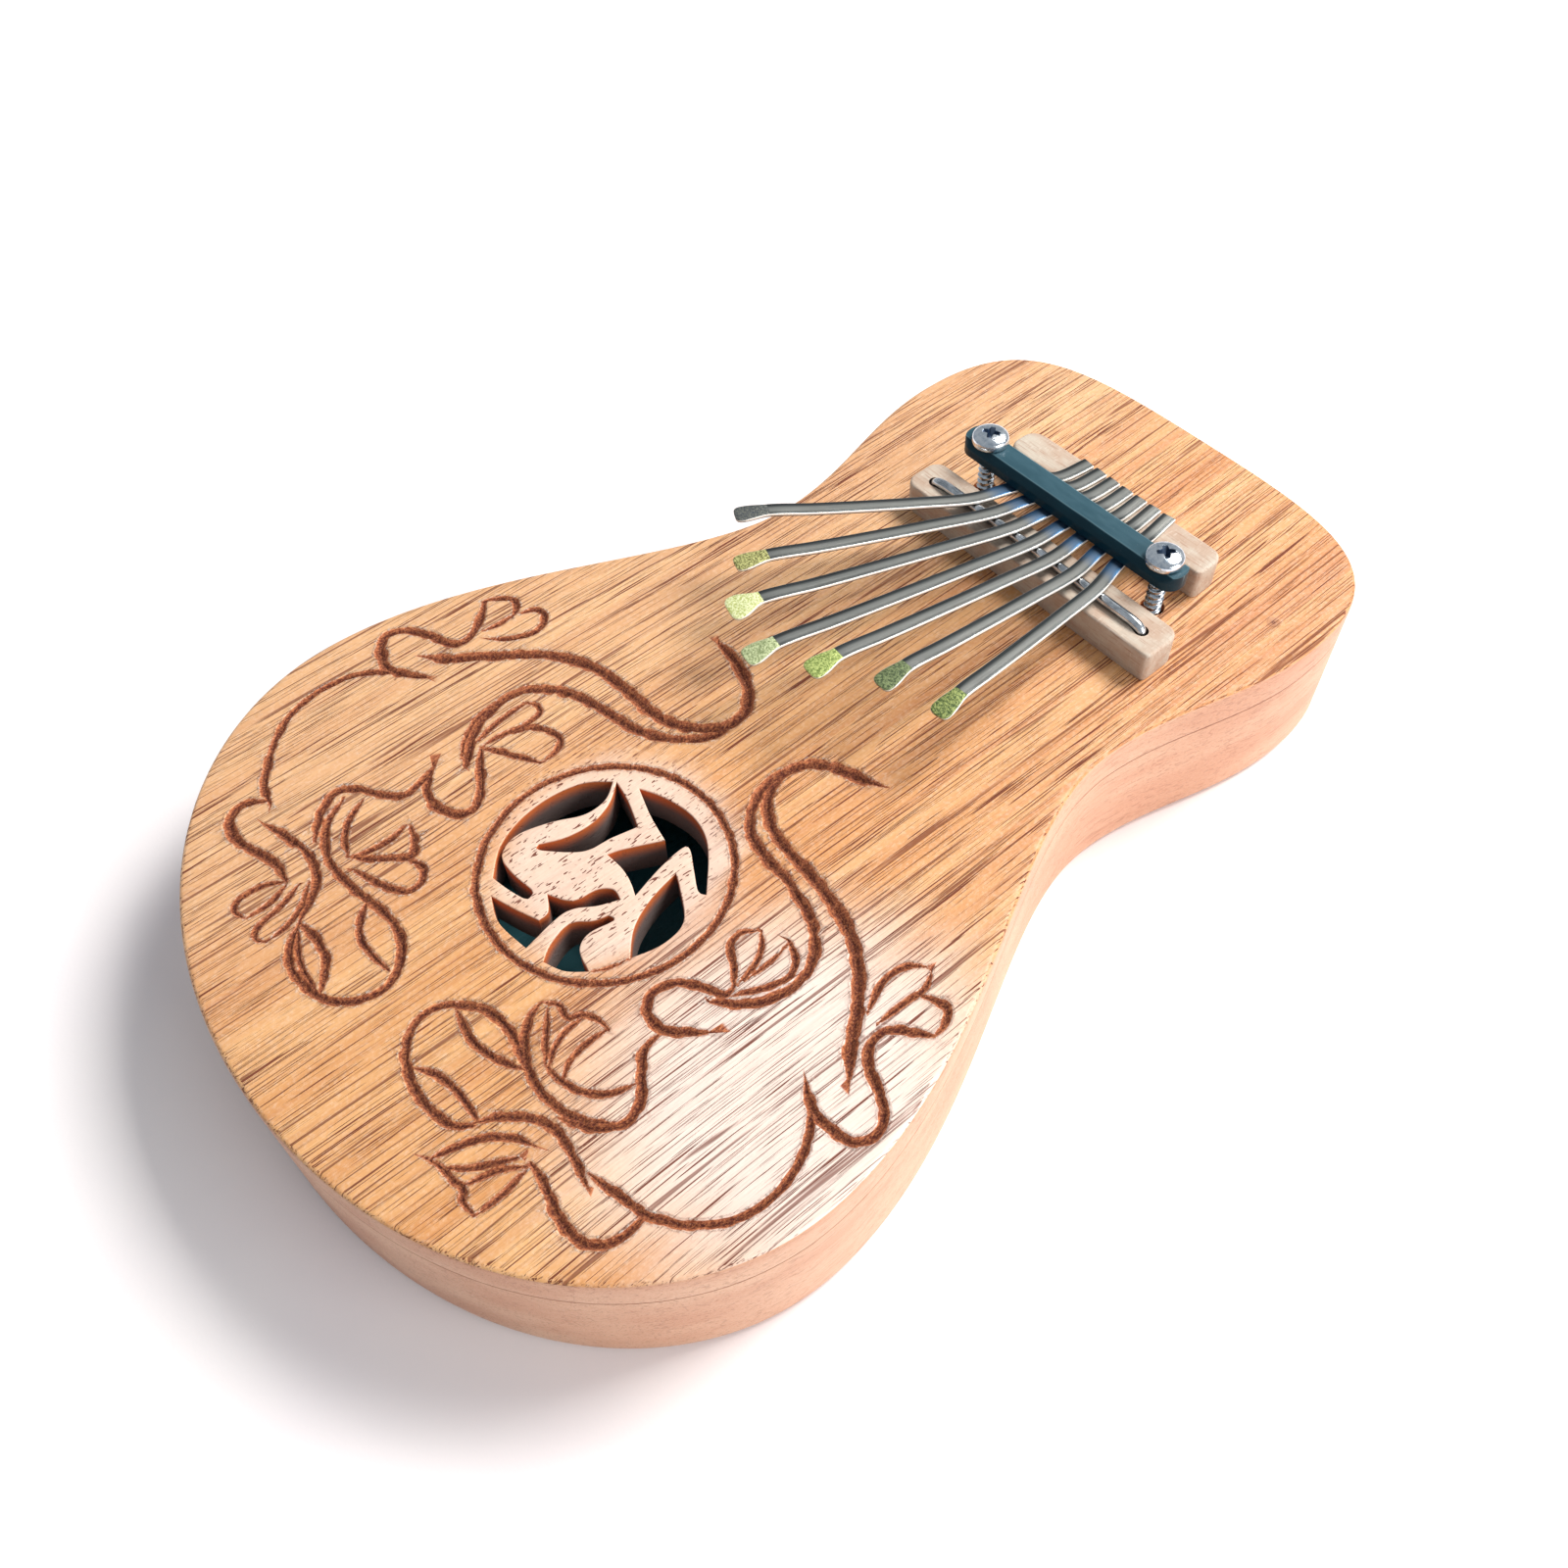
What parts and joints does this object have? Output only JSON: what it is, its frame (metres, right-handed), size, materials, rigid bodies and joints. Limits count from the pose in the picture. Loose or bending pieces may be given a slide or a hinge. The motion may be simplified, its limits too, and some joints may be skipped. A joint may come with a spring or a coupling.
{
  "type": "kalimba",
  "caption": "Pear-shaped wooden box kalimba with a carved, fretted soundboard and fanned steel tines clamped under a screwed bar over a wire saddle.",
  "frame": {"origin": "middle of the bounding box in plan, on the underside of the box", "axes": "+Y up the neck, away from the tine tips; +X to the right seen from above with the neck at the top; +Z out of the soundboard"},
  "size_m": [0.136, 0.211, 0.0444],
  "materials": {
    "mahogany_top": "satin, open pores along the grain, carved vine grooves left raw",
    "mahogany_body": "satin, sanded sides",
    "pale_hardwood": "bare, lightly sanded",
    "bright_wire": "bright drawn wire",
    "black_bar": "gloss black paint",
    "zinc_screw": "bright zinc plate",
    "spring_steel": "ground and brushed, bright edges, yellow-green tips on all but the first"
  },
  "bodies": {
    "box": {"body": "mahogany_body", "soundboard": "mahogany_top", "front_bridge": "pale_hardwood", "rear_bridge": "pale_hardwood", "saddle_rod": "bright_wire", "pressure_bar": "black_bar", "clamp_screw_left": "zinc_screw", "clamp_screw_right": "zinc_screw", "tine_1_clamped": "spring_steel", "tine_2_clamped": "spring_steel", "tine_3_clamped": "spring_steel", "tine_4_clamped": "spring_steel", "tine_5_clamped": "spring_steel", "tine_6_clamped": "spring_steel", "tine_7_clamped": "spring_steel"},
    "tine_1": {"tine_1_free": "spring_steel"},
    "tine_2": {"tine_2_free": "spring_steel"},
    "tine_3": {"tine_3_free": "spring_steel"},
    "tine_4": {"tine_4_free": "spring_steel"},
    "tine_5": {"tine_5_free": "spring_steel"},
    "tine_6": {"tine_6_free": "spring_steel"},
    "tine_7": {"tine_7_free": "spring_steel"}
  },
  "joints": [
    {"name": "tine_1_pluck", "type": "hinge", "parent": "box", "child": "tine_1", "pos_m": [-0.01215, 0.0525, 0.03795], "axis": [0.8894, -0.4571, 0], "range_deg": [-3, 5], "stiffness_Nm_per_rad": 0.1},
    {"name": "tine_2_pluck", "type": "hinge", "parent": "box", "child": "tine_2", "pos_m": [-0.0071, 0.0525, 0.03795], "axis": [0.9394, -0.3429, 0], "range_deg": [-3, 5], "stiffness_Nm_per_rad": 0.1},
    {"name": "tine_3_pluck", "type": "hinge", "parent": "box", "child": "tine_3", "pos_m": [-0.00205, 0.0525, 0.03795], "axis": [0.9642, -0.2653, 0], "range_deg": [-3, 5], "stiffness_Nm_per_rad": 0.1},
    {"name": "tine_4_pluck", "type": "hinge", "parent": "box", "child": "tine_4", "pos_m": [0.003, 0.0525, 0.03795], "axis": [0.9859, -0.1674, 0], "range_deg": [-3, 5], "stiffness_Nm_per_rad": 0.1},
    {"name": "tine_5_pluck", "type": "hinge", "parent": "box", "child": "tine_5", "pos_m": [0.00805, 0.0525, 0.03795], "axis": [0.9957, -0.0926, 0], "range_deg": [-3, 5], "stiffness_Nm_per_rad": 0.1},
    {"name": "tine_6_pluck", "type": "hinge", "parent": "box", "child": "tine_6", "pos_m": [0.0131, 0.0525, 0.03795], "axis": [0.9997, -0.024, 0], "range_deg": [-3, 5], "stiffness_Nm_per_rad": 0.1},
    {"name": "tine_7_pluck", "type": "hinge", "parent": "box", "child": "tine_7", "pos_m": [0.01815, 0.0525, 0.03795], "axis": [0.996, 0.0898, 0], "range_deg": [-3, 5], "stiffness_Nm_per_rad": 0.1}
  ]
}
